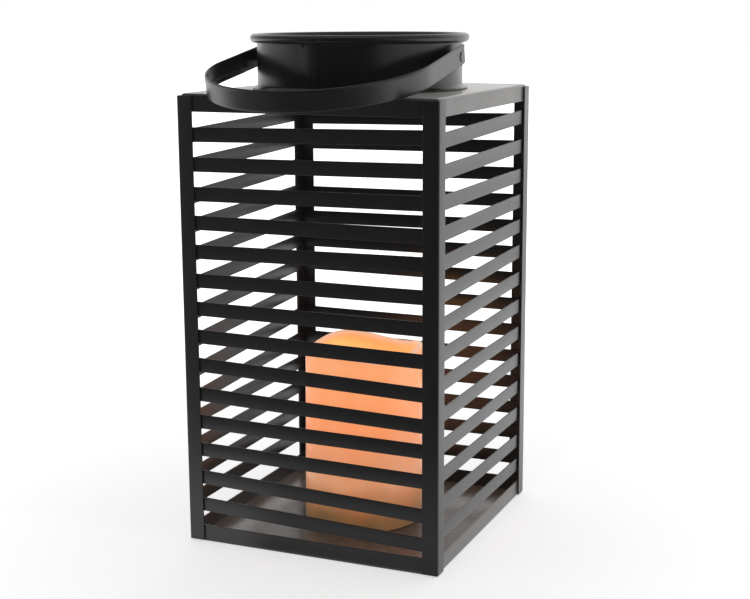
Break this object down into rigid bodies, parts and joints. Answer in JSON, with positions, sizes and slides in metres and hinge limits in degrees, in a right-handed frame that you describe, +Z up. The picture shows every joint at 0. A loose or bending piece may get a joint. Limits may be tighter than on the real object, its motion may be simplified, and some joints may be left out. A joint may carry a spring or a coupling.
{
  "type": "candle lantern",
  "caption": "Square slatted steel lantern with an open round collar, a swinging strap handle and an LED pillar candle.",
  "frame": {"origin": "on the ground under the middle of the square body, on the underside of the bottom tray", "axes": "+Z up, X along the front face, the handle rests towards -Y"},
  "size_m": [0.19, 0.2335, 0.3565],
  "materials": {
    "black_steel": "satin powder coat",
    "candle_wax": "smooth wax, lit from inside",
    "dark_plastic": "moulded, fine texture",
    "pale_plastic": "moulded, fine texture",
    "circuit_board": "solder mask",
    "led_lens": "clear amber",
    "contact_metal": "nickel plated",
    "battery_jacket": "printed foil jacket",
    "red_wire": "smooth insulation",
    "black_wire": "smooth insulation"
  },
  "bodies": {
    "lantern": {"top_plate": "black_steel", "bottom_tray": "black_steel", "collar": "black_steel", "corner_post_front_left": "black_steel", "corner_post_front_right": "black_steel", "corner_post_back_left": "black_steel", "corner_post_back_right": "black_steel", "slat_panel_front": "black_steel", "slat_panel_right": "black_steel", "slat_panel_back": "black_steel", "slat_panel_left": "black_steel", "pivot_rivet_left": "black_steel", "pivot_rivet_right": "black_steel", "pivot_spacer_left": "black_steel", "pivot_spacer_right": "black_steel"},
    "handle": {"handle_strap": "black_steel"},
    "candle": {"candle_wax_shell": "candle_wax", "candle_base_housing": "dark_plastic", "candle_led_holder": "pale_plastic", "candle_circuit_board": "circuit_board", "candle_led": "led_lens", "candle_led_lead_a": "red_wire", "candle_led_lead_b": "black_wire", "candle_battery_a": "battery_jacket", "candle_battery_b": "battery_jacket", "candle_contact_bridge": "contact_metal", "candle_contact_positive": "contact_metal", "candle_contact_negative": "contact_metal", "candle_contact_spring_a": "contact_metal", "candle_contact_spring_b": "contact_metal", "candle_board_screw_a": "contact_metal", "candle_board_screw_b": "contact_metal"},
    "switch": {"candle_switch_slider": "pale_plastic"},
    "battery_door": {"candle_battery_door": "dark_plastic"}
  },
  "joints": [
    {"name": "handle_swing", "type": "hinge", "parent": "lantern", "child": "handle", "pos_m": [-0.0008, -0.006, 0.341], "axis": [-1, 0, 0], "range_deg": [0, 198.5]},
    {"name": "candle_lift", "type": "slide", "parent": "lantern", "child": "candle", "axis": [0, 0, 1], "range_m": [0, 0.37]},
    {"name": "switch_slide", "type": "slide", "parent": "candle", "child": "switch", "axis": [1, 0, 0], "range_m": [0, 0.003]},
    {"name": "battery_door_turn", "type": "hinge", "parent": "candle", "child": "battery_door", "pos_m": [0, 0, 0.0015], "axis": [0, 0, 1], "range_deg": [0, 30]}
  ]
}
